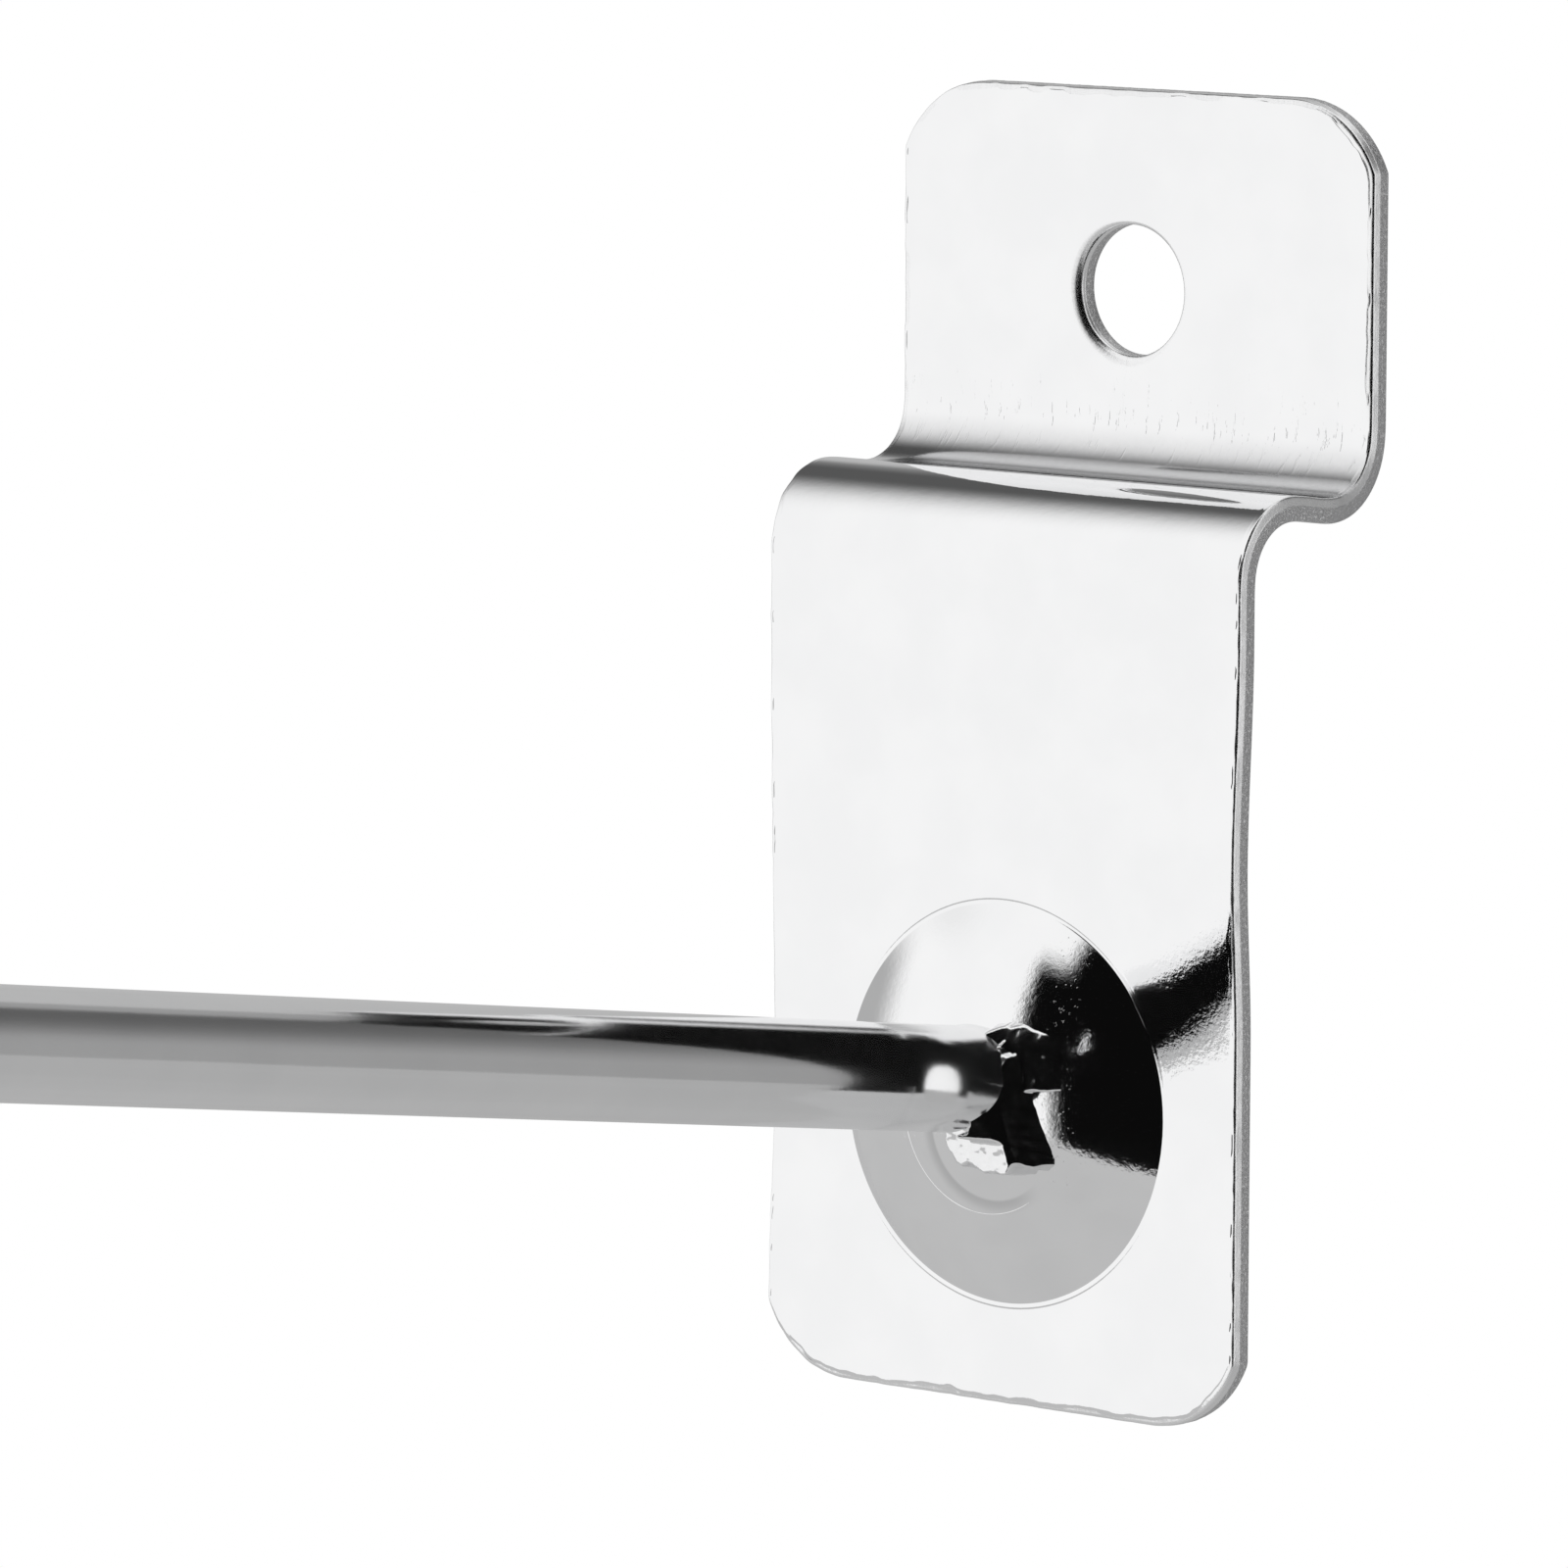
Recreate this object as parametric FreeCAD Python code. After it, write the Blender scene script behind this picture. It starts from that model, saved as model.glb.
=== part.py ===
import FreeCAD, Part
import math
import os

# Slatwall hook: a joggled steel back plate with a drawn boss, and a wire prong welded to the boss.
# Millimetres. +Z is up, +Y goes into the wall and the prong points to -Y.
# The origin is on the centre line, where the top edge of the slat meets its front face:
# the lower plate's back lies on Y = 0 and the web's underside rests on Z = 0.

# Back plate: sheet, outline and folds
sheet_thickness = 1.2
plate_width = 28.0
tab_rise = 18.9
plate_drop = 42.2
corner_radius = 5.2
corner_centre_inset = 4.85
slat_gap = 8.6
fold_radius = 2.7
web_slope_angle = 8.0
edge_roll_radius = 0.45
edge_break = 0.12

# Waist of the left side, where drawing the boss pulled the sheet in
waist_depth = 0.3
waist_below_fold = 22.0

# Fixing hole in the tab
hole_diameter = 6.4
hole_below_top = 9.5
hole_roll_radius = 0.3

# Boss drawn out of the lower plate
boss_above_bottom = 14.3
boss_shift_x = 0.35
boss_base_diameter = 19.0
boss_flat_diameter = 8.2
boss_dome_radius = 20.0
boss_flank_width = 0.7
boss_root_radius = 0.5
boss_skirt_width = 1.0

# Prong: wire, lean and upturned tip
wire_diameter = 5.0
prong_lean_angle = 8.0
foot_above_boss_centre = 1.27
prong_straight_length = 86.25
tip_bend_radius = 8.0
tip_turn_angle = 45.0
tip_straight_length = 9.0

# Weld fillet round the prong's foot
weld_spread = 1.1
weld_fillet_radius = 2.6
weld_shift_x = 0.45
weld_shift_z = -0.95

# Places worked out from the sizes above
half_width = plate_width / 2
plate_front = -sheet_thickness
tab_front = slat_gap
hole_height = tab_rise - hole_below_top
boss_centre = boss_above_bottom - plate_drop
dome_end = boss_base_diameter / 2 - boss_flank_width
flank_slope = math.asin(dome_end / boss_dome_radius)
flat_slope = math.asin(boss_flat_diameter / 2 / boss_dome_radius)
dome_drop = boss_dome_radius * (math.cos(flat_slope) - math.cos(flank_slope))
boss_height = dome_drop + boss_flank_width * math.tan(flank_slope)
boss_face = plate_front - boss_height
foot_height = boss_centre + foot_above_boss_centre
wire_radius = wire_diameter / 2
across = FreeCAD.Vector(1, 0, 0)
into_wall = FreeCAD.Vector(0, 1, 0)
far_past = 3 * plate_width
touching = 1e-4

# Directions in the side view, in degrees from +Y towards +Z
upwards = 90
to_front = 180
downwards = -90


def side(y, z):
    """A point of the side view, in the plane X = 0."""
    return FreeCAD.Vector(0, y, z)


def polar(centre, radius, degrees):
    """A point of the side view at a distance and a direction from a centre."""
    a = math.radians(degrees)
    return centre + side(radius * math.cos(a), radius * math.sin(a))


def side_arc(centre, radius, start, end):
    """An arc of the side view between two directions from its centre."""
    middle = polar(centre, radius, (start + end) / 2)
    return Part.Arc(polar(centre, radius, start), middle, polar(centre, radius, end)).toShape()


def line(a, b):
    return Part.LineSegment(a, b).toShape()


def joined(edges):
    return Part.Wire(Part.__sortEdges__(edges))


def fold_centres():
    """Centres of the front fold and the tab's fold, joined by a web that slopes down to the back."""
    slope = math.radians(web_slope_angle)
    front = side(fold_radius, -fold_radius)
    reach = tab_front - fold_radius - front.y
    lean = 2 * fold_radius + sheet_thickness
    web = (reach - lean * math.sin(slope)) / math.cos(slope)
    rise = lean * math.cos(slope) - web * math.sin(slope)
    return front, front + side(reach, rise)


def face_line(front_fold, tab_fold, depth):
    """One face of the folded sheet in the side view, a given depth behind its front face."""
    front_r = fold_radius + sheet_thickness - depth
    tab_r = fold_radius + depth
    web_top = upwards - web_slope_angle
    web_foot = downwards - web_slope_angle
    bottom = side(plate_front + depth, -plate_drop)
    top = side(tab_front + depth, tab_rise)
    edges = [line(bottom, polar(front_fold, front_r, to_front)),
             side_arc(front_fold, front_r, to_front, web_top),
             line(polar(front_fold, front_r, web_top), polar(tab_fold, tab_r, web_foot)),
             side_arc(tab_fold, tab_r, web_foot, 0),
             line(polar(tab_fold, tab_r, 0), top)]
    return edges, bottom, top


def folded_strip():
    """The joggled strip at more than its full width, and the skins of its front and back faces."""
    folds = fold_centres()
    front, front_bottom, front_top = face_line(*folds, 0)
    back, back_bottom, back_top = face_line(*folds, sheet_thickness)
    ends = [line(front_bottom, back_bottom), line(front_top, back_top)]
    wires = [joined(front + back + ends), joined(front), joined(back)]
    for wire in wires:
        wire.translate(across * -plate_width)
    width = across * (2 * plate_width)
    return Part.Face(wires[0]).extrude(width), wires[1].extrude(width), wires[2].extrude(width)


def outline_prism():
    """The blank's outline seen from the front, as a prism: a rectangle with four punched corners.

    Each corner arc is tangent to its end but meets its side at a slight angle, because the corner
    punch stood a little way out. The left side of the lower plate has a shallow waist.
    """
    r = corner_radius
    inset = corner_centre_inset
    run_out = math.acos(inset / r)
    halfway = (run_out + math.pi / 2) / 2
    corners = [(-half_width, -plate_drop, 1, 1), (half_width, -plate_drop, -1, 1),
               (half_width, tab_rise, -1, -1), (-half_width, tab_rise, 1, -1)]
    arcs = []
    for number, (x, z, in_x, in_z) in enumerate(corners):

        def on_arc(angle):
            out = FreeCAD.Vector(in_x * (inset - r * math.cos(angle)), 0, in_z * r * (1 - math.sin(angle)))
            return FreeCAD.Vector(x, -far_past, z) + out

        ends = [on_arc(run_out), on_arc(math.pi / 2)]
        first, last = ends if number % 2 == 0 else ends[::-1]
        arcs.append(Part.Arc(first, on_arc(halfway), last).toShape())
    runs = []
    for arc, following in zip(arcs, arcs[1:]):
        runs.append(line(arc.Vertexes[-1].Point, following.Vertexes[0].Point))
    foot = arcs[0].Vertexes[0].Point
    top = FreeCAD.Vector(-half_width, -far_past, -2 * fold_radius - sheet_thickness)
    neck = FreeCAD.Vector(waist_depth - half_width, -far_past, top.z - waist_below_fold)
    toe = FreeCAD.Vector(-half_width, -far_past, foot.z)
    waist = Part.BSplineCurve()
    waist.interpolate(Points=[top, neck, toe], Tangents=[FreeCAD.Vector(0, 0, -1)] * 3,
                      TangentFlags=[True] * 3)
    runs += [line(arcs[-1].Vertexes[-1].Point, top), waist.toShape()]
    return Part.Face(joined(arcs + runs)).extrude(into_wall * (2 * far_past))


def rim_edges(shape, skin, wall):
    """The edges of a trimmed sheet that lie both on one skin and on the outline's wall."""
    found = []
    for edge in shape.Edges:
        first, last = edge.ParameterRange
        points = [edge.valueAt(first + share * (last - first)) for share in (0.2, 0.5, 0.8)]
        near = [max(Part.Vertex(p).distToShape(surface)[0] for p in points) for surface in (skin, wall)]
        if max(near) < touching:
            found.append(edge)
    return found


def punch(radius, height, x=0):
    """A round punch that passes right through the plate."""
    start = FreeCAD.Vector(x, -far_past, height)
    return Part.makeCylinder(radius, 2 * far_past, start, into_wall)


def boss_section():
    """Half section of the drawn boss and the flat sheet round it, as a face to turn about its axis.

    The outer and inner lines are one sheet apart: flat top, dome arc, short flank, root arc and flat.
    """
    dome_centre = boss_face + boss_dome_radius * math.cos(flat_slope)
    half_turn = math.tan(flank_slope / 2)
    base_r = boss_base_diameter / 2
    skirt_r = base_r + boss_root_radius * half_turn + boss_skirt_width

    def hat(depth):
        """The line that lies a given depth inside the sheet's outer face."""
        dome = boss_dome_radius - depth
        root = boss_root_radius + depth
        top_y = boss_face + depth
        base_y = plate_front + depth
        flat_end = math.acos((dome_centre - top_y) / dome)
        root_r = base_r - depth * half_turn + root * half_turn

        def on_dome(angle):
            return FreeCAD.Vector(dome * math.sin(angle), dome_centre - dome * math.cos(angle), 0)

        def on_root(angle):
            return FreeCAD.Vector(root_r - root * math.sin(angle), base_y - root * (1 - math.cos(angle)), 0)

        return [line(FreeCAD.Vector(0, top_y, 0), on_dome(flat_end)),
                Part.Arc(on_dome(flat_end), on_dome((flat_end + flank_slope) / 2), on_dome(flank_slope)).toShape(),
                line(on_dome(flank_slope), on_root(flank_slope)),
                Part.Arc(on_root(flank_slope), on_root(flank_slope / 2), on_root(0)).toShape(),
                line(on_root(0), FreeCAD.Vector(skirt_r, base_y, 0))]

    ends = [line(FreeCAD.Vector(0, boss_face, 0), FreeCAD.Vector(0, boss_face + sheet_thickness, 0)),
            line(FreeCAD.Vector(skirt_r, plate_front, 0), FreeCAD.Vector(skirt_r, 0, 0))]
    return Part.Face(joined(hat(0) + hat(sheet_thickness) + ends)), skirt_r


def with_boss(plate):
    """The plate with the disc where the boss is drawn replaced by the formed sheet."""
    section, skirt_r = boss_section()
    formed = section.revolve(FreeCAD.Vector(0, 0, 0), into_wall, 360)
    formed.translate(FreeCAD.Vector(boss_shift_x, 0, boss_centre))
    return plate.cut(punch(skirt_r, boss_centre, boss_shift_x)).fuse(formed).removeSplitter()


def with_fixing_hole(plate):
    """The plate with the round hole punched through the tab, its front rim rolled in."""
    radius = hole_diameter / 2
    punched = plate.cut(punch(radius, hole_height))
    rim = []
    for edge in punched.Edges:
        if isinstance(edge.Curve, Part.Circle) and abs(edge.Curve.Radius - radius) < touching:
            if abs(edge.Curve.Center.y - tab_front) < touching:
                rim.append(edge)
    return punched.makeFillet(hole_roll_radius, rim)


def back_plate():
    """Folded strip, trimmed to its outline, sheared edges rolled at the front, then boss and hole."""
    strip, front_skin, back_skin = folded_strip()
    prism = outline_prism()
    wall = Part.Shell([face for face in prism.Faces if abs(face.normalAt(0, 0).y) < touching])
    trimmed = strip.common(prism)
    rolled = trimmed.makeFillet(edge_roll_radius, rim_edges(trimmed, front_skin, wall))
    broken = rolled.makeChamfer(edge_break, rim_edges(rolled, back_skin, wall))
    return with_fixing_hole(with_boss(broken))


def prong_axis():
    """The way the wire leaves the boss, from its foot towards its tip."""
    return polar(side(0, 0), 1, to_front - prong_lean_angle)


def prong_path():
    """Centre line of the wire: through the boss's face, straight, one bend up and a short straight."""
    foot = side(boss_face, foot_height)
    start = foot - prong_axis() * wire_diameter
    bend_start = foot + prong_axis() * prong_straight_length
    bend_centre = polar(bend_start, tip_bend_radius, upwards - prong_lean_angle)
    bend_first = downwards - prong_lean_angle
    bend_last = bend_first - tip_turn_angle
    bend_end = polar(bend_centre, tip_bend_radius, bend_last)
    tip = polar(bend_end, tip_straight_length, to_front - prong_lean_angle - tip_turn_angle)
    edges = [line(start, bend_start), side_arc(bend_centre, tip_bend_radius, bend_first, bend_last),
             line(bend_end, tip)]
    return Part.Wire(edges), start, tip


def weld_fillet():
    """The weld round the foot: a hollow-sided mound on the boss's face that runs up into the wire.

    It stands square to the face, and its footprint sits a little low and to one side of the wire.
    """
    centre = FreeCAD.Vector(weld_shift_x, boss_face, foot_height + weld_shift_z)
    rim = wire_radius + weld_spread
    r = weld_fillet_radius
    diagonal = r * math.sqrt(0.5)

    def at(out, up):
        return centre + across * out - into_wall * up

    edges = [Part.Arc(at(rim, 0), at(rim - diagonal, r - diagonal), at(rim - r, r)).toShape(),
             line(at(rim - r, r), at(0, r)), line(at(0, r), at(0, 0)), line(at(0, 0), at(rim, 0))]
    return Part.Face(joined(edges)).revolve(centre, into_wall, 360)


def prong():
    """The bent wire with a round tip and its weld, ending face to face on the boss's flat top."""
    path, start, tip = prong_path()
    section = Part.Wire(Part.Circle(start, prong_axis(), wire_radius).toShape())
    corner = FreeCAD.Vector(-far_past, boss_face, foot_height - far_past)
    behind = Part.makeBox(2 * far_past, far_past, 2 * far_past, corner)
    wire = path.makePipeShell([section], True, False).cut(behind)
    return wire.fuse([Part.makeSphere(wire_radius, tip), weld_fillet()]).removeSplitter()


def export(shape, name):
    os.makedirs("parts", exist_ok=True)
    solid = shape.Solids[0] if len(shape.Solids) == 1 else shape
    solid.exportStep("parts/" + name + ".step")
    print(name, "solids", len(shape.Solids), "valid", shape.isValid(), "volume", round(shape.Volume, 1))


export(back_plate(), "back_plate")
export(prong(), "prong")
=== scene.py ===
"""Slatwall hook in bright chrome: a joggled steel back plate with a drawn boss, and a welded wire prong."""

import math

import bmesh
import bpy
import numpy as np
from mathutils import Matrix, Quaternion, Vector


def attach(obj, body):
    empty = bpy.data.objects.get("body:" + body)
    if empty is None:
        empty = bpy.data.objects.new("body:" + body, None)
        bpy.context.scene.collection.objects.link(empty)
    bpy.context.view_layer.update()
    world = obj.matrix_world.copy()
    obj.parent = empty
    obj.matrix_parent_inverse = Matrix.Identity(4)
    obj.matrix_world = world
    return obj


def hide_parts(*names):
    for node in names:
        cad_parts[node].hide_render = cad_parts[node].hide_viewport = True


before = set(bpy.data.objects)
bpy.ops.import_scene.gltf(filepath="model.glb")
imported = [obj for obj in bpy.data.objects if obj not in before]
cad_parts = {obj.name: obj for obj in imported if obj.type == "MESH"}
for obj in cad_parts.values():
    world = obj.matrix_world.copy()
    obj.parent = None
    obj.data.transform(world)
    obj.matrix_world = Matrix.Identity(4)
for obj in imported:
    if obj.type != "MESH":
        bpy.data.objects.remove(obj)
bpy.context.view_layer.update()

# Back plate: 1.2 mm sheet steel, blanked, pierced, pressed to a domed boss, folded twice and bright
# chrome plated. It is worked out flat in millimetres, x across the blank and s up its front face
# from the lower end, and then every point is laid on the folded sheet.

mm = 0.001
sheet = 1.2
half_width = 14.0
plate_drop = 42.2
tab_rise = 18.9
slat_gap = 8.6
fold_radius = 2.7
web_slope = math.radians(8.0)
outer_radius = fold_radius + sheet
fold_turn = math.pi / 2 + web_slope
fold_lean = 2 * fold_radius + sheet
web = (slat_gap - 2 * fold_radius - fold_lean * math.sin(web_slope)) / math.cos(web_slope)
tab_fold_height = fold_lean * math.cos(web_slope) - web * math.sin(web_slope) - fold_radius
runs = [plate_drop - fold_radius, outer_radius * fold_turn, web, fold_radius * fold_turn, tab_rise - tab_fold_height]
run_ends = np.cumsum([0.0] + runs)
blank_length = run_ends[-1]
run_headings = [math.pi / 2, math.pi / 2, -web_slope, -web_slope, math.pi / 2, math.pi / 2]

# The ends of the two folds are eased, because a sheet springs a little where its bend starts.
fold_ease = 0.5
line_s = np.linspace(0, blank_length, 6001)
line_step = line_s[1]
ease_at = np.arange(-math.ceil(4 * fold_ease / line_step), math.ceil(4 * fold_ease / line_step) + 1) * line_step
ease = np.exp(-0.5 * (ease_at / fold_ease) ** 2)
padded = np.pad(np.interp(line_s, run_ends, run_headings), len(ease) // 2, mode="edge")
line_heading = np.convolve(padded, ease / ease.sum(), mode="valid")


def running_sum(values, step):
    """Area under evenly spaced values, from the first up to each of them."""
    return np.concatenate([[0.0], np.cumsum((values[1:] + values[:-1]) / 2)]) * step


line_y = -sheet + running_sum(np.cos(line_heading), line_step)
line_z = -plate_drop + running_sum(np.sin(line_heading), line_step)


def smooth_step(value, low, high):
    """0 below low, 1 above high, and 3t^2 - 2t^3 between them."""
    t = np.clip((value - low) / (high - low), 0, 1)
    return t * t * (3 - 2 * t)


flange_spring = 0.35
flange_root = 9.3


def flange_curl(x, s):
    """How far the narrow flange right of the boss has sprung forward, most beside the boss's upper half.

    It grows from the flange's root with the 1.25th power of the distance.
    """
    beside = smooth_step(s, 18.2, 26.5) * (1 - smooth_step(s, 26.5, 36.5))
    return flange_spring * (np.clip(x - flange_root, 0, None) / (half_width - flange_root)) ** 1.25 * beside


def folded(x, s, depth):
    """A point of the blank, laid on the folded sheet.

    The front face follows a line whose heading turns from up to the web's slope and back to up, summed
    from the lower end. A point lies under that line by its depth, square to the heading.
    """
    depth = depth - flange_curl(x, s)
    heading = np.interp(s, line_s, line_heading)
    y = np.interp(s, line_s, line_y) + depth * np.sin(heading)
    z = np.interp(s, line_s, line_z) - depth * np.cos(heading)
    return np.stack([x, y, z], -1)


corner_radius = 5.2
corner_inset = 4.85
waist_depth = 0.3
fold_low = run_ends[1] - 2.4
fold_high = run_ends[4] + 1.1
corner_start = math.acos(corner_inset / corner_radius)
half_turn = math.pi / 2
rim_spacing = 0.22
rim_width = 0.75


def left_side(s):
    """The left side's x: straight, but for a shallow waist that drawing the boss pulled in."""
    return -half_width + waist_depth * smooth_step(s, 4.1, 13.6) * (1 - smooth_step(s, 13.6, 35.6))


def corner(end_s, way_x, way_s, start, stop):
    """A corner arc of the blank. Its centre stands one radius from the end and a little less from the side."""
    angle = np.linspace(start, stop, 60)
    x = way_x * (half_width - corner_inset + corner_radius * np.cos(angle))
    return np.stack([x, end_s - way_s * corner_radius * (1 - np.sin(angle))], -1)


def even(points):
    """Points at even distances along a line of many points, from its first and without its last."""
    along = np.concatenate([[0.0], np.cumsum(np.hypot(*np.diff(points, axis=0).T))])
    at = np.linspace(0, along[-1], int(round(along[-1] / rim_spacing)) + 1)
    return np.stack([np.interp(at, along, points[:, 0]), np.interp(at, along, points[:, 1])], -1)[:-1]


side_s = np.linspace(fold_low, corner_radius * (1 - math.sin(corner_start)), 200)
lower = even(np.concatenate([
    np.stack([left_side(side_s), side_s], -1), corner(0.0, -1, -1, corner_start, half_turn),
    corner(0.0, 1, -1, half_turn, corner_start), [[half_width, fold_low]]]))
right_fold = even(np.array([[half_width, fold_low], [half_width, fold_high]]))
upper = even(np.concatenate([
    [[half_width, fold_high]], corner(blank_length, 1, 1, corner_start, half_turn),
    corner(blank_length, -1, 1, half_turn, corner_start), [[-half_width, fold_high]]]))
left_fold = even(np.array([[-half_width, fold_high], [-half_width, fold_low]]))
outline = np.concatenate([lower, right_fold, upper, left_fold])
ahead = np.roll(outline, -1, axis=0) - np.roll(outline, 1, axis=0)
outward = np.stack([ahead[:, 1], -ahead[:, 0]], -1) / np.hypot(*ahead.T)[:, None]
closed = np.concatenate([outline, outline[:1]])
closed_outward = np.concatenate([outward, outward[:1]])
rim_along = np.arange(len(closed)) * rim_spacing


def wander(along, spacing, seed):
    """A closed random line: seeded heights at even spacing along it, joined smoothly."""
    count = max(4, int(round(along[-1] / spacing)))
    heights = np.random.default_rng(seed).normal(size=count)
    at = along / along[-1] * count
    first = np.floor(at).astype(int)
    share = smooth_step(at - first, 0, 1)
    return heights[first % count] * (1 - share) + heights[(first + 1) % count] * share


# The shear rolls the front edge over, burnishes the first third of the cut side and tears the rest.
# The roll is widest along the lower end, and the tab's sides carry a pressed line just inside the edge.
rough_line = 0.55 * wander(rim_along, 0.8, 5) + 0.5 * wander(rim_along, 0.45, 6)
downward = np.clip(-closed_outward[:, 1], 0, 1) * (closed[:, 1] < 10)
press_mark = smooth_step(wander(rim_along, 1.6, 7), -1.2, 0.5) * (0.25 + 0.75 * smooth_step(closed[:, 1], 46, 55))
pressed = 0.026 * press_mark
rolled = 0.004 + 0.010 * downward ** 2
crease = 0.33 + 0.06 * rough_line + 0.05 * downward
tears = np.random.default_rng(11).normal(size=(5, len(closed))) * 0.006
tears[:, -1] = tears[:, 0]
section = [(rim_width, 0.0), (crease + 0.10, 0.0), (crease + 0.03, 0.08 * pressed + 0.01 * rolled),
           (crease + 0.005, 0.45 * pressed + 0.04 * rolled), (crease - 0.025, 0.9 * pressed + 0.10 * rolled),
           (crease - 0.06, pressed + 0.2 * rolled), (0.23, pressed + 0.5 * rolled),
           (0.18 + 0.02 * rough_line, pressed + 0.75 * rolled)]
section += [(inward + wave * rough_line, pressed + rolled + depth) for inward, wave, depth in (
    (0.110, 0.032, 0.008), (0.088, 0.028, 0.018), (0.070, 0.024, 0.032), (0.055, 0.018, 0.054), (0.042, 0.012, 0.09),
    (0.030, 0.008, 0.18))]
section += [(0.012, 0.37 + 0.02 * rough_line + rolled), (0.0, 0.45 + 0.02 * rough_line + rolled)]
section += [(0.004 + tear, depth) for tear, depth in zip(tears, np.linspace(0.60, 1.05, 5))]
section += [(0.02, 1.12), (0.06, 1.175), (0.12, sheet), (rim_width, sheet)]
rim_in = np.stack([np.broadcast_to(inward, rim_along.shape) for inward, depth in section])
rim_depth = np.stack([np.broadcast_to(depth, rim_along.shape) for inward, depth in section])
rim_x = closed[:, 0] - closed_outward[:, 0] * rim_in
rim_s = closed[:, 1] - closed_outward[:, 1] * rim_in
grids = [(folded(rim_x, rim_s, rim_depth), np.broadcast_to(rim_along, rim_in.shape), rim_depth)]


def lay(x, s, depth):
    """Adds a grid of the blank to the plate's patches. Its cut map is 0 on both faces."""
    x, s, depth = np.broadcast_arrays(x, s, depth)
    grids.append((folded(x, s, depth), x, 0 * depth))


# Both faces between the rim, the fold lines, the boss and the hole.
inner = np.stack([rim_x[0, :-1], rim_s[0, :-1]], -1)
across = np.linspace(half_width - rim_width, -half_width + rim_width, 90)
first_high = len(lower) + len(right_fold)
fold_rows = inner[len(lower):first_high + 1, 1:2]
low_bound = np.concatenate([inner[:len(lower) + 1], np.stack([across[1:], 0 * across[1:] + fold_low], -1)])
high_bound = np.concatenate([inner[first_high:first_high + len(upper) + 1],
                             np.stack([across[::-1][1:], 0 * across[1:] + fold_high], -1)])


def ring(bound, centre, radius, rows):
    """A flat ring from a circle out to a closed boundary, along straight lines from the circle's centre."""
    away = bound - centre
    angle = np.unwrap(np.arctan2(away[:, 1], away[:, 0]))
    circle = centre + radius * np.stack([np.cos(angle), np.sin(angle)], -1)
    grid = circle + (bound - circle) * np.linspace(0, 1, rows)[:, None, None]
    return grid[..., 0], grid[..., 1], angle


# The boss is a dome of 20 mm radius with a short flank and a fine step round its foot. The tool left two
# part rings on its lower left, and fine wrinkles at its upper right.
boss = np.array([0.35, 14.3])
dome_radius = 20.0
dome_reach = 8.8
flank_start, flank_end = 9.36, 9.50
groove_at, lip_at = 9.575, 9.71
boss_edge = 10.4
dial = np.linspace(0, boss_edge, 5201)
dome_slope = np.arcsin(np.minimum(dial, dome_reach) / dome_radius) * (1 - smooth_step(dial, flank_start, flank_end))
groove = np.exp(-0.5 * ((dial - groove_at) / 0.035) ** 2)
lip = np.exp(-0.5 * ((dial - lip_at) / 0.03) ** 2)
front_slope = dome_slope - np.radians(7.0) * groove + np.radians(5.0) * lip
ring_marks = -0.0045 * (0.7 * smooth_step(dial, 4.16, 4.22) - 0.7 * smooth_step(dial, 4.22, 4.30)
                        + smooth_step(dial, 4.90, 4.96) - smooth_step(dial, 4.96, 5.06))
front_radii = np.concatenate([
    np.linspace(0, 3.9, 7), [4.1, 4.16, 4.19, 4.22, 4.26, 4.30, 4.4, 4.7, 4.84, 4.90, 4.93, 4.96, 4.99, 5.02, 5.06],
    np.linspace(5.2, 9.2, 19), np.linspace(9.3, 9.8, 17), [10.1, boss_edge]])[:, None]
back_radii = np.concatenate([np.linspace(0, 9.2, 10), np.linspace(9.3, 9.6, 4), [boss_edge]])[:, None]
for depth, slope, radii in ((0.0, front_slope, front_radii), (sheet, dome_slope, back_radii)):
    x, s, angle = ring(low_bound, boss, boss_edge, 8)
    lay(x, s, depth)
    rise = running_sum(np.tan(slope), dial[1])
    lean = np.interp(radii, dial, slope)
    out = np.maximum(radii - depth * np.sin(lean), 0)
    deep = np.interp(radii, dial, rise) - rise[-1] + depth * np.cos(lean) + 0 * angle
    if depth == 0:
        wrinkled = smooth_step(radii, 6.6, 7.8) * (1 - smooth_step(radii, 9.0, 9.35))
        wrinkles = np.exp(-0.5 * ((angle - 1.06) / 0.17) ** 2) * np.cos(angle * 120 + 2.0 * np.sin(radii * 1.9))
        pressed_ring = np.interp(radii, dial, ring_marks) * smooth_step(np.cos(angle + 2.2), -0.2, 0.5)
        deep = deep + 0.009 * wrinkled * wrinkles + pressed_ring
    lay(boss[0] + out * np.cos(angle), boss[1] + out * np.sin(angle), deep)
    lay(across, fold_rows, depth)

# The hole is pierced from the front, which rolls its front rim in and leaves a dull wall behind it.
hole = np.array([-0.19, blank_length - 9.46])
hole_radius = 3.1
hole_ring = 0.9
roll = np.linspace(0, half_turn, 12)[:, None]
for depth in (0.0, sheet):
    x, s, angle = ring(high_bound, hole, hole_radius + hole_ring, 5)
    lay(x, s, depth)
level = 0 * angle[None]
roll_width = 0.24 + 0.42 * smooth_step(np.cos(angle - 3.6), -0.55, 0.75)
hole_out = np.concatenate([level + hole_ring, level + roll_width + 0.12, roll_width * (1 - np.sin(roll)) ** 1.4] + [
    level + out for out in (0.0, 0.0, 0.0, 0.03, 0.08, hole_ring)])
hole_depth = np.concatenate([level, level + 0.003, 0.010 + 0.5 * roll_width * (1 - np.cos(roll))] + [
    level + down for down in (0.5, 0.8, 1.1, 1.17, sheet, sheet)])
hole_x = hole[0] + (hole_radius + hole_out) * np.cos(angle)
hole_s = hole[1] + (hole_radius + hole_out) * np.sin(angle)
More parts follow.
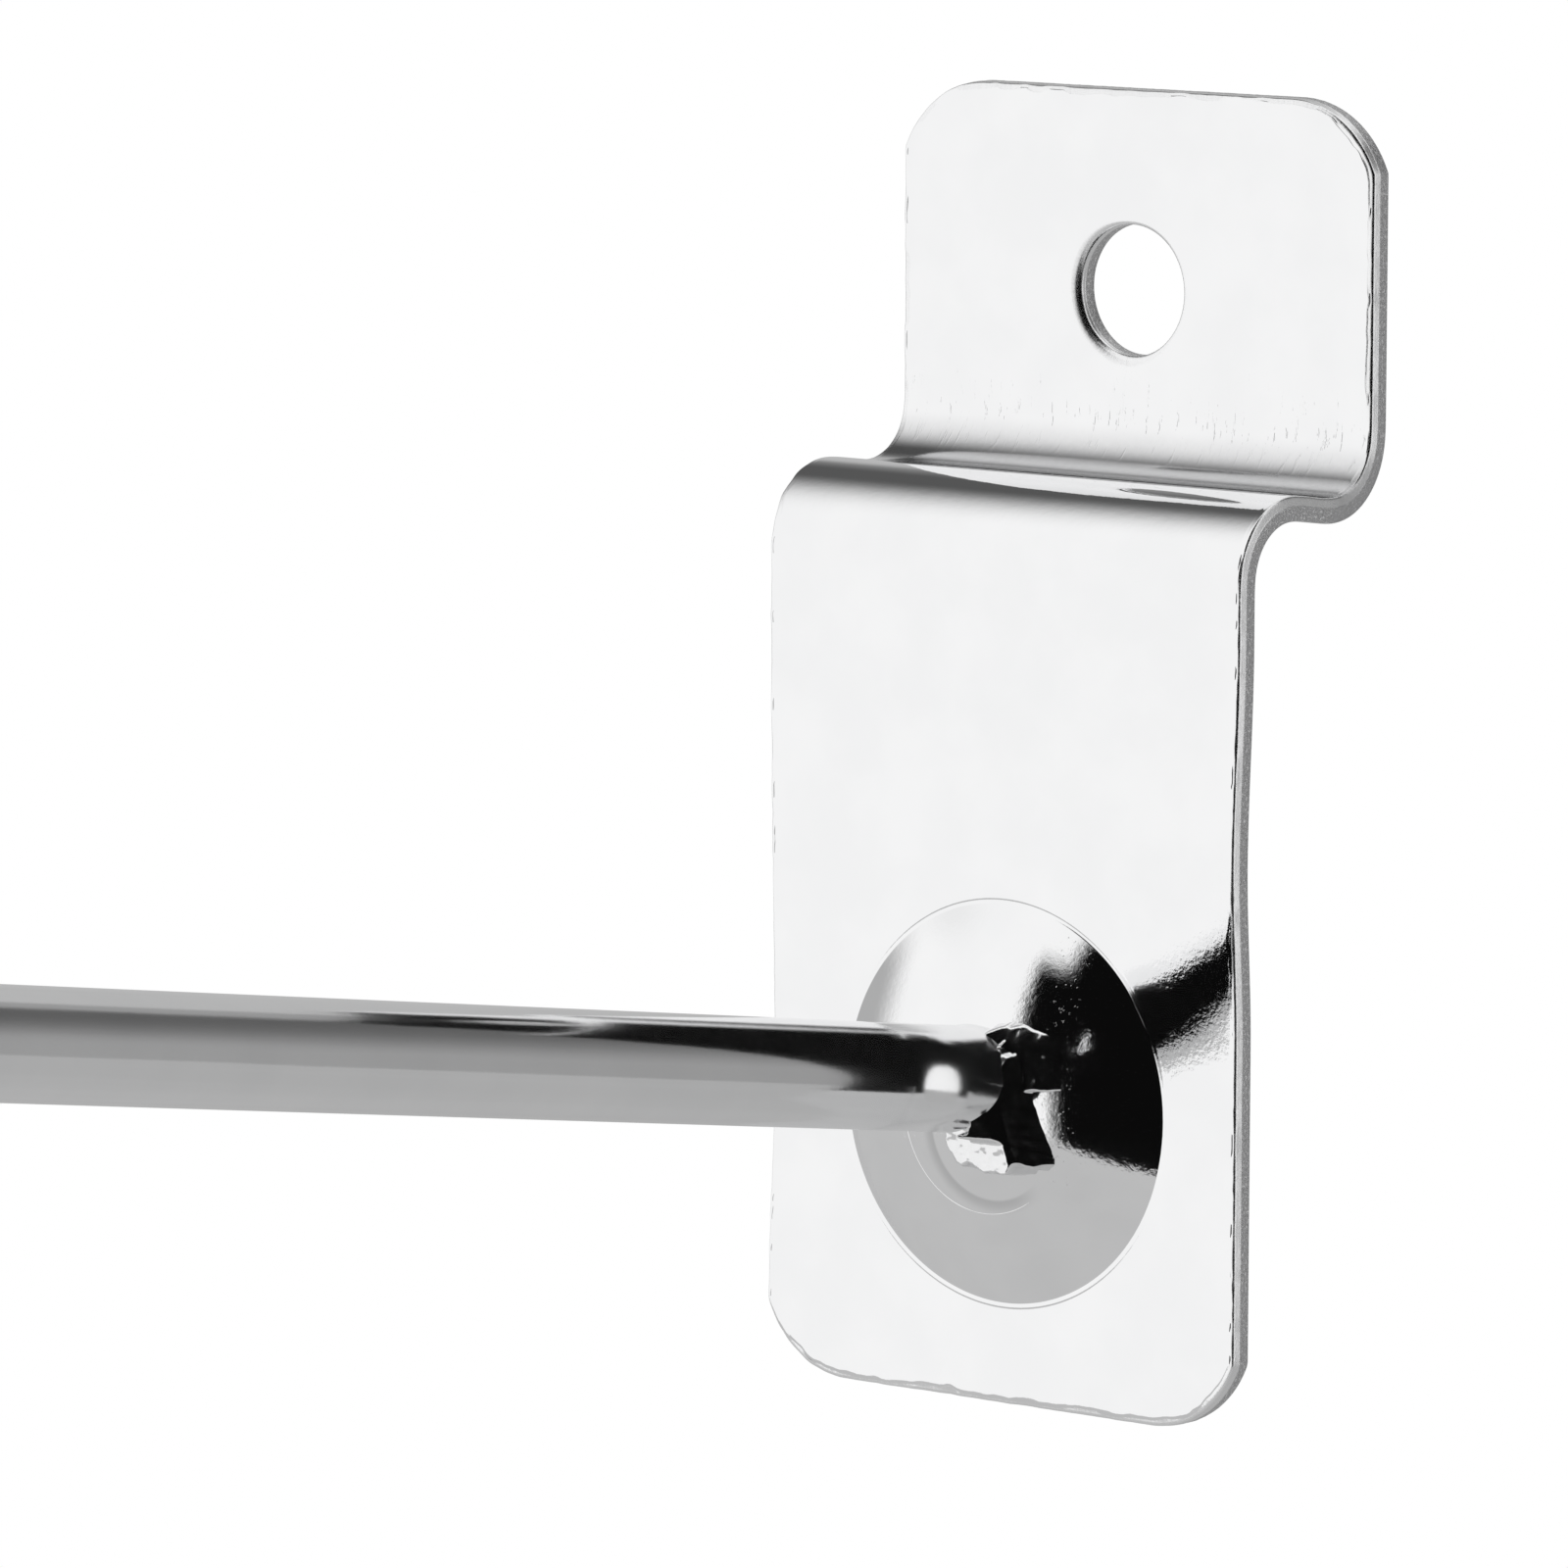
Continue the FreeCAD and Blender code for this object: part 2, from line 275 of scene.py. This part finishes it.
grids.append((folded(hole_x, hole_s, hole_depth), np.broadcast_to(angle * hole_radius, hole_x.shape), hole_depth))


def sewn(name, grids):
    """One closed mesh of grids of points, in millimetres, that meet at their sides.

    Each grid's cells become faces and points that meet become one. Every grid has its own map in
    millimetres, u along the cut and v down it.
    """
    points, faces, map_uv, count = [], [], [], 0
    for grid, u, v in grids:
        rows, columns = grid.shape[:2]
        first = (np.arange(rows - 1)[:, None] * columns + np.arange(columns - 1)).ravel()
        cells = np.stack([first, first + 1, first + columns + 1, first + columns], -1)
        points.append(grid.reshape(-1, 3) * mm)
        faces.append(cells + count)
        map_uv.append(np.stack([u.ravel(), v.ravel()], -1)[cells.ravel()])
        count += rows * columns
    mesh = bpy.data.meshes.new(name)
    mesh.from_pydata(np.concatenate(points).tolist(), [], np.concatenate(faces).tolist())
    layer = mesh.uv_layers.new(name="cut")
    layer.data.foreach_set("uv", np.concatenate(map_uv).astype(np.float32).ravel())
    work = bmesh.new()
    work.from_mesh(mesh)
    bmesh.ops.remove_doubles(work, verts=work.verts, dist=2e-6)
    bmesh.ops.recalc_face_normals(work, faces=work.faces)
    work.to_mesh(mesh)
    work.free()
    mesh.polygons.foreach_set("use_smooth", np.ones(len(mesh.polygons), bool))
    piece = bpy.data.objects.new(name, mesh)
    bpy.context.scene.collection.objects.link(piece)
    return piece


class Value:
    """A number that varies over a surface: a node's output socket that takes part in plain sums."""

    def __init__(self, finish, socket):
        self.finish, self.socket = finish, socket

    def maths(self, operation, first, second=0.0):
        return self.finish.add("ShaderNodeMath", {"operation": operation}, {0: first, 1: second})

    def __add__(self, other):
        return self.maths("ADD", self, other)

    def __sub__(self, other):
        return self.maths("SUBTRACT", self, other)

    def __mul__(self, other):
        return self.maths("MULTIPLY", self, other)

    def __rsub__(self, other):
        return self.maths("SUBTRACT", other, self)

    __radd__ = __add__
    __rmul__ = __mul__


class Finish:
    """The nodes of one material or world. add() makes any node, sets it up and gives one of its outputs."""

    def __init__(self, owner):
        owner.use_nodes = True
        self.owner, self.tree = owner, owner.node_tree
        self.tree.nodes.clear()

    def add(self, kind, settings=None, inputs=None, output=0):
        node = self.tree.nodes.new(kind)
        for key, setting in (settings or {}).items():
            setattr(node, key, setting)
        for key, value in (inputs or {}).items():
            if isinstance(value, Value):
                self.tree.links.new(value.socket, node.inputs[key])
            else:
                node.inputs[key].default_value = value
        return Value(self, node.outputs[output]) if node.outputs else None

    def blend(self, share, low, high):
        """0 below low, 1 above high and smooth between them."""
        return self.add("ShaderNodeMapRange", {"interpolation_type": "SMOOTHSTEP"},
                        {0: share, "From Min": low, "From Max": high})

    def stretched(self, place, size, detail=2.0, rough=0.5):
        """Noise whose grains have the given size along each axis, in the place's own units."""
        scale = tuple(1 / length for length in size)
        point = self.add("ShaderNodeVectorMath", {"operation": "MULTIPLY"}, {0: place, 1: scale})
        return self.add("ShaderNodeTexNoise", {}, {"Vector": point, "Scale": 1.0, "Detail": detail, "Roughness": rough})


# The plating's tone drifts between two greys. It is darker where it is worn or lies on torn steel, and inside the tab's
# fold, where the darker grey is painted shade.
chrome = (0.88, 0.882, 0.887, 1)
pale_chrome = (0.905, 0.906, 0.91, 1)
worn_and_shaded_chrome = (0.52, 0.52, 0.525, 1)
micron = 1e-6


def bright_chrome(name, sides):
    """Bright chrome over a polished surface that isn't quite even. sides() adds what is special to a piece.

    The metal's tone and gloss drift a little over millimetres, and a very fine ripple bends what it mirrors.
    Places are Object coordinates in metres, and every height is in microns.
    """
    finish = Finish(bpy.data.materials.new(name))
    place = finish.add("ShaderNodeTexCoord", {}, {}, 3)
    drift = finish.stretched(place, (0.004, 0.004, 0.004), 3.0)
    haze = finish.stretched(place, (0.0012, 0.0012, 0.0012), 4.0, 0.6)
    ripple = finish.stretched(place, (0.0022, 0.0022, 0.0016), 2.0)
    grain = finish.stretched(place, (0.0003, 0.0003, 0.0003), 3.0, 0.6)
    gloss = 0.025 + 0.03 * haze + 0.02 * drift
    roughness, height, wear_and_shade = sides(finish, place, gloss, 5.0 * ripple, grain)
    bright = finish.add("ShaderNodeMix", {"data_type": "RGBA"}, {
        0: finish.blend(drift, 0.3, 0.7), 6: chrome, 7: pale_chrome}, 2)
    # The darker grey is laid where the piece is worn or torn, and as painted shade inside the plate's tab fold.
    tone = finish.add("ShaderNodeMix", {"data_type": "RGBA"}, {0: wear_and_shade, 6: bright, 7: worn_and_shaded_chrome}, 2)
    normal = finish.add("ShaderNodeBump", {}, {"Height": height, "Distance": micron, "Strength": 1.0})
    shader = finish.add("ShaderNodeBsdfPrincipled", {}, {
        "Base Color": tone, "Metallic": 1.0, "Roughness": roughness, "Normal": normal})
    finish.add("ShaderNodeOutputMaterial", {}, {"Surface": shader})
    return finish.owner


def plate_sides(finish, place, roughness, height, grain):
    """Short scratches from the folding tools, a chattered flange beside the boss, torn cut sides, and painted shade
    inside the tab's fold.

    Each mask is a product of smooth steps over the place, or down the cut in millimetres.
    """
    # Down the cut from the front edge: rolled over, burnished, then torn.
    cut = finish.add("ShaderNodeUVMap", {"uv_map": "cut"})
    down = finish.add("ShaderNodeSeparateXYZ", {}, {0: cut}, 1)
    torn = finish.blend(down, 0.42, 0.54) * (1 - finish.blend(down, 1.13, 1.19))
    burnished = finish.blend(down, 0.06, 0.10) * (1 - torn)
    flecks = finish.stretched(cut, (0.18, 0.12, 1.0), 4.0, 0.65)
    # Scratches above the tab's fold, and smears over the front one.
    right = finish.add("ShaderNodeSeparateXYZ", {}, {0: place}, 0)
    high = finish.add("ShaderNodeSeparateXYZ", {}, {0: place}, 2)
    behind = finish.add("ShaderNodeSeparateXYZ", {}, {0: place}, 1)
    tab_fold = finish.blend(high, 0.0010, 0.0022) * (1 - finish.blend(high, 0.0046, 0.0072)) * (
        1 - finish.blend(behind, 0.0089, 0.0093))
    front_fold = finish.blend(high, -0.0080, -0.0050) * (1 - finish.blend(high, 0.0002, 0.0010))
    scratches = finish.stretched(place, (0.00024, 0.0050, 0.0013), 3.0, 0.6)
    lines = finish.blend(scratches, 0.55, 0.72) * tab_fold
    smears = finish.stretched(place, (0.0009, 0.0020, 0.0004), 3.0, 0.6) * front_fold
    # The flange beside the boss, and the boss itself.
    beside = finish.blend(right, 0.0085, 0.0105) * finish.blend(high, -0.033, -0.026) * (
        1 - finish.blend(high, -0.016, -0.012))
    from_boss = finish.add("ShaderNodeVectorMath", {"operation": "DISTANCE"}, {
        0: place, 1: (0.00035, -0.003, -0.0279)}, 1)
    dome = 1 - finish.blend(from_boss, 0.0090, 0.0098)
    beside_weld = finish.blend(right, 0.0038, 0.0044) * (1 - finish.blend(right, 0.0052, 0.0064)) * dome
    specks = finish.blend(finish.stretched(place, (0.00018, 0.00018, 0.00018), 2.0), 0.66, 0.72)
    # Part rings on the boss's lower left, as circles seen from the front.
    flat = finish.add("ShaderNodeVectorMath", {"operation": "MULTIPLY"}, {0: place, 1: (1, 0, 1)})
    outer_ring = finish.add("ShaderNodeVectorMath", {"operation": "DISTANCE"}, {
        0: flat, 1: (0.0006, 0, -0.0282)}, 1)
    inner_ring = finish.add("ShaderNodeVectorMath", {"operation": "DISTANCE"}, {
        0: flat, 1: (0.0012, 0, -0.0288)}, 1)
    low_left = finish.blend(finish.add("ShaderNodeVectorMath", {"operation": "DOT_PRODUCT"}, {
        0: place, 1: (-0.6, 0, -0.8)}, 1), 0.0225, 0.0245) * dome
    dull_ring = finish.blend(inner_ring, 0.00334, 0.00350) * (1 - finish.blend(inner_ring, 0.00352, 0.0042))
    step = finish.blend(outer_ring, 0.00470, 0.00475) * low_left
    fine = finish.stretched(place, (0.00014, 0.00014, 0.00014), 2.0)
    rolled = finish.blend(down, 0.007, 0.018) * (1 - finish.blend(down, 0.05, 0.10))
    smoothed = burnished + rolled
    dull = roughness + lines * 0.10 + torn * (0.14 + 0.16 * flecks) + smoothed * (0.11 + 0.18 * flecks)
    bumps = height + (1.3 + 6.0 * beside + 3.0 * dome) * grain + lines * 6.0 + smears * 4.0 + fine * 0.3
    bumps = bumps + beside_weld * specks * 2.5 + step * 10.0 + torn * flecks * 45.0 + smoothed * flecks * 8.0
    # Painted shade: the inside of the tab's fold, below the web, is laid darker grey and a little duller, as if shade
    # fell there.
    shaded_inner_fold = finish.blend(behind, 0.0052, 0.0068) * (1 - finish.blend(high, 0.0016, 0.0032))
    torn_dark = torn * (1 - finish.blend(flecks, 0.52, 0.62))
    wear_and_shade = torn_dark + shaded_inner_fold * (0.45 + 0.3 * grain) + low_left * dull_ring * 0.5
    return dull + shaded_inner_fold * 0.07, bumps, wear_and_shade


plate = sewn("folded_plate", grids)
plate.data.materials.append(bright_chrome("bright_plate", plate_sides))
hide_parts("back_plate")
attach(plate, "root")

# Prong: 5 mm drawn steel wire, cut, turned up at its round tip, welded to the boss and then plated.
# It leans up 8 degrees. At its foot it swells a little where the weld's heat upset it, and its end is
# sunk 0.7 mm into the boss.

wire_radius = 2.5
boss_face = -3.158
foot = np.array([boss_face, -26.63])
lean = math.radians(8.0)
straight = 86.25
bend_radius = 8.0
tip_turn = math.radians(45.0)
tip_straight = 9.0
sunk = 0.7
bend_end = straight + bend_radius * tip_turn
wire_end = bend_end + tip_straight
wire_t = np.linspace(-sunk, wire_end, 8001)
wire_step = wire_t[1] - wire_t[0]
wire_heading = lean + tip_turn * np.clip((wire_t - straight) / (bend_end - straight), 0, 1)
wire_y = foot[0] + sunk * math.cos(lean) - running_sum(np.cos(wire_heading), wire_step)
wire_z = foot[1] - sunk * math.sin(lean) + running_sum(np.sin(wire_heading), wire_step)


def swell(angle, t):
    """How far the wire's surface stands out near its foot.

    A soft ramp on its right and a smaller one above it, then a last flare down into the weld: smooth
    steps and bell curves round the wire, times a smooth step or a square along it. The angle counts from
    the right side towards the top, and t from the boss's face.
    """
    def facing(centre, width):
        """A bell curve round the wire, 1 at its centre."""
        turned = (angle - math.radians(centre) + math.pi) % (2 * math.pi) - math.pi
        return np.exp(-0.5 * (turned / math.radians(width)) ** 2)

    turned = np.degrees((angle + math.pi) % (2 * math.pi) - math.pi)
    right_side = np.where(turned > 14, facing(14, 24), smooth_step(turned, -65, -15))
    ramp = (0.54 * right_side + 0.06 * facing(58, 12)) * smooth_step(7.2 - t, 0, 3.6)
    flare = (0.15 + 0.75 * facing(5, 30)) * np.clip(1.25 - t, 0, 0.7) ** 2
    return ramp + flare


def wire_surface(t, angle, radius):
    """A point round the wire's centre line, at a radius square to its heading."""
    heading = np.interp(t, wire_t, wire_heading)
    up = radius * np.sin(angle)
    y = np.interp(t, wire_t, wire_y) + up * np.sin(heading)
    z = np.interp(t, wire_t, wire_z) + up * np.cos(heading)
    return np.stack(np.broadcast_arrays(radius * np.cos(angle), y, z), -1)


around = np.linspace(0, 2 * math.pi, 109)
rows_t = np.concatenate([np.linspace(-sunk, 9.0, 100), np.linspace(9.4, straight, 130),
                         np.linspace(straight, bend_end, 20)[1:], np.linspace(bend_end, wire_end, 16)[1:]])[:, None]
t, angle = np.broadcast_arrays(rows_t, around)
body = wire_surface(t, angle, wire_radius + swell(angle, t))
cap_lean = np.linspace(0, half_turn, 20)[1:, None]
cap_t = wire_end + 0 * cap_lean
cap = wire_surface(cap_t, around, wire_radius * np.cos(cap_lean))
cap_heading = lean + tip_turn
cap = cap + (wire_radius * np.sin(cap_lean))[..., None] * np.array([0, -math.cos(cap_heading), math.sin(cap_heading)])
base = wire_surface(0 * cap_lean[:1] - sunk, around, 0 * around[None])
surface = np.concatenate([base, body, cap])
lengths = np.concatenate([[[-sunk]], rows_t, wire_end + wire_radius * np.sin(cap_lean)])
u, v = np.broadcast_arrays(around * wire_radius, lengths)
wire_grids = [(surface, u, v)]

# Weld: filler metal that ran round the wire's foot and was plated with it. It stands as a bead to the
# upper right, and under the wire as a lip whose front is flat and whose right side falls away to the boss.

weld_centre = np.array([2.0, 0.6])
weld_reach = 4.6
weld_mark = 200.0  # the weld's map starts past the wire's, so that the finish can tell them apart
lip_line = [(-0.9, 0.6), (-0.5, -1.0), (-0.15, -1.8), (0.43, -2.7), (1.6, -2.8), (2.3, -3.1), (3.3, -2.95),
            (4.8, -2.25), (4.7, -1.2), (4.5, 0.5), (4.5, 1.4), (4.0, 2.4), (3.3, 2.85), (2.4, 3.2), (1.4, 3.5),
            (0.6, 3.2)]
bead_line = [(0.6, 3.2), (1.3, 3.95), (2.2, 4.15), (2.9, 4.1), (3.7, 3.85), (4.4, 3.6), (5.0, 2.9), (5.1, 1.25),
             (3.7, 1.0), (2.2, 0.6)]


def crossing(x, z, corners):
    """How far a point is inside a closed line of corners: its shortest distance, below zero outside.

    A point is inside when a ray to its right crosses the line an odd number of times.
    """
    corners = np.array(corners)
    ends = np.roll(corners, -1, axis=0)
    gap = ends - corners
    px = x[..., None] - corners[:, 0]
    pz = z[..., None] - corners[:, 1]
    share = np.clip((px * gap[:, 0] + pz * gap[:, 1]) / (gap ** 2).sum(-1), 0, 1)
    away = np.hypot(px - share * gap[:, 0], pz - share * gap[:, 1]).min(-1)
    spans = (corners[:, 1] > z[..., None]) != (ends[:, 1] > z[..., None])
    at = corners[:, 0] + (z[..., None] - corners[:, 1]) / np.where(gap[:, 1] == 0, 1e-9, gap[:, 1]) * gap[:, 0]
    inside = (spans & (x[..., None] < at)).sum(-1) % 2 == 1
    return np.where(inside, away, -away)


def lumps(x, z, size, seed):
    """Smooth random heights: seeded values on a square lattice of the given size, joined smoothly."""
    values = np.random.default_rng(seed).normal(size=(64, 64))
    gx, gz = x / size + 32, z / size + 32
    ix, iz = np.floor(gx).astype(int), np.floor(gz).astype(int)
    fx, fz = smooth_step(gx - ix, 0, 1), smooth_step(gz - iz, 0, 1)
    low = values[ix % 64, iz % 64] * (1 - fx) + values[(ix + 1) % 64, iz % 64] * fx
    high = values[ix % 64, (iz + 1) % 64] * (1 - fx) + values[(ix + 1) % 64, (iz + 1) % 64] * fx
    return low * (1 - fz) + high * fz


def softer_least(first, second, width):
    """The lesser of two heights, less a parabola over the width in which they cross."""
    h = np.clip(0.5 + 0.5 * (second - first) / width, 0, 1)
    return second * (1 - h) + first * h - width * h * (1 - h)


def weld_height(x, z):
    """How high the weld stands over the boss's face. z counts up from the boss's axis.

    The lip is the least of a side that falls away to the right in two slopes, of a flat front with a
    sloping shelf above it, and of its ragged outline. The bead is the lesser of a slope that falls away to
    the right and rounds off at its top, and of its own outline. The weld is the higher of the two.
    """
    edge = 0.10 * lumps(x, z, 0.5, 8) + 0.04 * lumps(x, z, 0.22, 9)
    lip_in = crossing(x, z, lip_line) + edge
    inward = 3.78 + 0.12 * (0.66 - z) + 0.24 * np.clip(0.66 - z, 0, None) - x + 0.02 * lumps(x, z, 0.3, 12)
    side = np.where(inward < 0.8, 2.3 * inward, 1.04 + 1.0 * inward)
    shelf = smooth_step(z, -1.25, -0.95) * smooth_step(x + 0.3 * lumps(x, z, 0.3, 14), 1.5, 1.8)
    front = 2.0 + (0.45 + 0.42 * (2.6 - x)) * shelf - 0.7 * np.clip(z - 1.0, 0, None)
    lip = softer_least(softer_least(side, front, 0.12), lip_in * 6.0 - 0.15, 0.2)
    bead_in = crossing(x, z, bead_line) + 0.4 * edge
    bead = 1.2 - 0.40 * (x - 1.7) - 0.08 * (z - 1.1) - 0.23 * np.clip(z - 2.6, 0, None) ** 2
    bead = softer_least(bead, bead_in * 3.0 - 0.1, 0.12)
    skin = 0.012 * lumps(x, z, 0.45, 3) + 0.005 * lumps(x, z, 0.2, 4)
    return np.maximum(lip, bead) + skin


weld_angle = np.linspace(0, 2 * math.pi, 321)
weld_out = np.linspace(0, weld_reach, 84)[:, None]
weld_x = weld_centre[0] + weld_out * np.cos(weld_angle)
weld_z = weld_centre[1] + weld_out * np.sin(weld_angle)
buried = 0.75
weld_top = np.maximum(weld_height(weld_x, weld_z), -buried)
weld_top[-1] = -buried
boss_z = boss[1] - plate_drop
weld_face = np.stack([weld_x, boss_face - weld_top, boss_z + weld_z], -1)
weld_back = np.stack([weld_x[[-1, 0]], 0 * weld_x[[-1, 0]] + boss_face + buried, boss_z + weld_z[[-1, 0]]], -1)
weld_v = weld_mark + weld_z
wire_grids += [(weld_face, weld_x, weld_v), (weld_back, weld_x[[-1, 0]], weld_v[[-1, 0]])]


def wire_sides(finish, place, roughness, height, grain):
    """Fine lines that drawing left along the wire, and a lumpier skin on the weld and near it.

    The map's v runs along the wire in millimetres, and the weld's own v lies past the wire's.
    """
    cut = finish.add("ShaderNodeUVMap", {"uv_map": "cut"})
    down = finish.add("ShaderNodeSeparateXYZ", {}, {0: cut}, 1)
    weld = finish.blend(down, weld_mark - 50, weld_mark - 40)
    drawn = finish.stretched(cut, (0.25, 9.0, 1.0), 3.0, 0.6)
    near = (1 - finish.blend(down, 2.5, 8.5)) * (1 - weld)
    dull = roughness + 0.05 + 0.03 * drawn + near * (0.03 + 0.07 * grain)
    return dull, height + 1.6 * drawn + (1.0 + weld * 4.0 + near * 3.0) * grain, weld * 0.2 * grain


prong = sewn("welded_wire", wire_grids)
prong.data.materials.append(bright_chrome("bright_wire", wire_sides))
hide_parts("prong")
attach(prong, "root")

# Table and cards: a pale round table under the hook, with painted shade on its far side and in soft blotches, in a
# white room with black and grey cards.
# The cards stand round the hook on all sides, where its chrome mirrors them, and the camera looks past them.

middle = Vector((0.0, 0.0, -0.0279))


def sphere_patch(name, radius, az, el):
    """Part of a sphere round the hook's middle.

    A point lies at the radius in the direction whose azimuth counts from -Y towards +X, and whose
    elevation counts up from the horizon. The map's u and v run over the two angles from 0 to 1.
    """
    columns, rows = 48, 24
    u, v = np.meshgrid(np.linspace(0, 1, columns), np.linspace(0, 1, rows))
    a = np.radians(az[0] + (az[1] - az[0]) * u)
    e = np.radians(el[0] + (el[1] - el[0]) * v)
    points = np.stack([np.sin(a) * np.cos(e), -np.cos(a) * np.cos(e), np.sin(e)], -1).reshape(-1, 3)
    points = points * radius + np.array(middle)
    first = (np.arange(rows - 1)[:, None] * columns + np.arange(columns - 1)).ravel()
    quads = np.stack([first, first + 1, first + columns + 1, first + columns], -1)
    mesh = bpy.data.meshes.new(name)
    mesh.from_pydata(points.tolist(), [], quads.tolist())
    layer = mesh.uv_layers.new(name="angles")
    layer.data.foreach_set("uv", np.stack([u.ravel(), v.ravel()], -1)[quads.ravel()].astype(np.float32).ravel())
    card = bpy.data.objects.new(name, mesh)
    bpy.context.scene.collection.objects.link(card)
    return card


def card(name, tone, az, el, soft, radius):
    """A card of one grey, with soft sides. az and el give its four sides in degrees."""
    piece = sphere_patch(name, radius, az, el)
    finish = Finish(bpy.data.materials.new(name))
    angles = finish.add("ShaderNodeUVMap", {"uv_map": "angles"})
    u = finish.add("ShaderNodeSeparateXYZ", {}, {0: angles}, 0)
    v = finish.add("ShaderNodeSeparateXYZ", {}, {0: angles}, 1)
    shown = 1.0
    for share, width, edges in ((u, az[1] - az[0], soft[:2]), (v, el[1] - el[0], soft[2:])):
        if edges[0]:
            shown = finish.blend(share * width, 0.0, edges[0]) * shown
        if edges[1]:
            shown = finish.blend((1 - share) * width, 0.0, edges[1]) * shown
    grey = finish.add("ShaderNodeEmission", {}, {"Color": (tone, tone, tone, 1), "Strength": 1.0})
    clear = finish.add("ShaderNodeBsdfTransparent")
    both = finish.add("ShaderNodeMixShader", {}, {0: shown, 1: clear, 2: grey})
    finish.add("ShaderNodeOutputMaterial", {}, {"Surface": both})
    piece.data.materials.append(finish.owner)
    piece.visible_camera = False
    piece.visible_diffuse = False
    piece.visible_shadow = False


# Name, grey, azimuths, elevations, widths of the four soft sides, and distance in metres.
card("black_card", 0.0035, (-17, 110), (-34, 89), (7, 6, 3, 8), 1.60)
card("black_side", 0.0035, (-28, 10), (-4, 32), (6, 0, 12, 8), 1.59)
card("right_card", 0.34, (124, 184), (-26, 52), (8, 4, 3, 14), 1.62)
card("shade_card", 0.12, (128, 174), (0, 54), (14, 8, 34, 10), 1.58)
card("back_card", 0.50, (-182, -118), (-26, 50), (2, 8, 3, 12), 1.64)
card("dark_card", 0.10, (-150, -48), (17, 75), (26, 63, 14, 10), 1.56)
card("left_card", 0.46, (-122, -68), (-26, 22), (6, 14, 3, 14), 1.66)

# The table's outline is nearly round, but for a straight side towards the camera.
table_drop = 0.27
table_radius = 0.97
table_side = 0.59
# The second grey is painted shade, laid on the table's far side.
table_tone, table_shaded_tone = (0.55, 0.55, 0.55, 1), (0.44, 0.44, 0.44, 1)
rings, spokes = 24, 192
share, t = np.meshgrid(np.linspace(0.0, 1.0, rings), np.linspace(0, 2 * np.pi, spokes, endpoint=False))
straight_side = table_side / np.maximum(np.cos(t - math.radians(41)), 0.2)
r = share * np.minimum(table_radius + 0.15 * np.cos(t + math.radians(75)), straight_side)
points = np.stack([r * np.sin(t), -r * np.cos(t), np.full_like(r, middle.z - table_drop)], -1).reshape(-1, 3)
first = (np.arange(spokes)[:, None] * rings + np.arange(rings - 1)).ravel()
after = (first + rings) % (spokes * rings)
mesh = bpy.data.meshes.new("table")
mesh.from_pydata(points.tolist(), [], np.stack([first, first + 1, after + 1, after], -1).tolist())
table = bpy.data.objects.new("table", mesh)
bpy.context.scene.collection.objects.link(table)
finish = Finish(bpy.data.materials.new("pale_table"))
place = finish.add("ShaderNodeTexCoord", {}, {}, 3)
# Painted shade: the table's grey darkens away from the camera and in soft blotches.
towards = finish.add("ShaderNodeVectorMath", {"operation": "DOT_PRODUCT"}, {0: place, 1: (0.34, 0.94, 0.0)}, 1)
shade_blotches = finish.stretched(place, (0.16, 0.16, 0.16), 2.0)
tone = finish.add("ShaderNodeMix", {"data_type": "RGBA"}, {
    0: finish.blend(towards, -0.35, 0.35) + 0.6 * shade_blotches - 0.3, 6: table_tone, 7: table_shaded_tone}, 2)
paint = finish.add("ShaderNodeBsdfDiffuse", {}, {"Color": tone})
finish.add("ShaderNodeOutputMaterial", {}, {"Surface": paint})
mesh.materials.append(finish.owner)

world = bpy.data.worlds.new("white_room")
bpy.context.scene.world = world
finish = Finish(world)
sky = finish.add("ShaderNodeBackground", {}, {"Color": (1, 1, 1, 1), "Strength": 1.0})
finish.add("ShaderNodeOutputWorld", {}, {"Surface": sky})

# Camera: a long lens from the front right and a little above, aimed left of the plate, so that the prong
# runs out of the picture's left side.
view_azimuth, view_elevation, view_roll = 39.829, 7.291, 0.211
view_distance = 0.5128
a, e = math.radians(view_azimuth), math.radians(view_elevation)
back = Vector((math.sin(a) * math.cos(e), -math.cos(a) * math.cos(e), math.sin(e)))
turn = (-back).to_track_quat("-Z", "Y") @ Quaternion((0, 0, 1), math.radians(view_roll))
aim = Vector((0, -0.0012, -0.0279)) + turn @ Vector((-0.0099965, 0.014855, 0))
camera = bpy.data.objects.new("camera", bpy.data.cameras.new("camera"))
bpy.context.scene.collection.objects.link(camera)
camera.data.lens = 251.74
camera.data.sensor_width = 36.0
camera.location = aim + back * view_distance
camera.rotation_mode = "QUATERNION"
camera.rotation_quaternion = turn
bpy.context.scene.camera = camera
bpy.context.scene.view_settings.view_transform = "Standard"
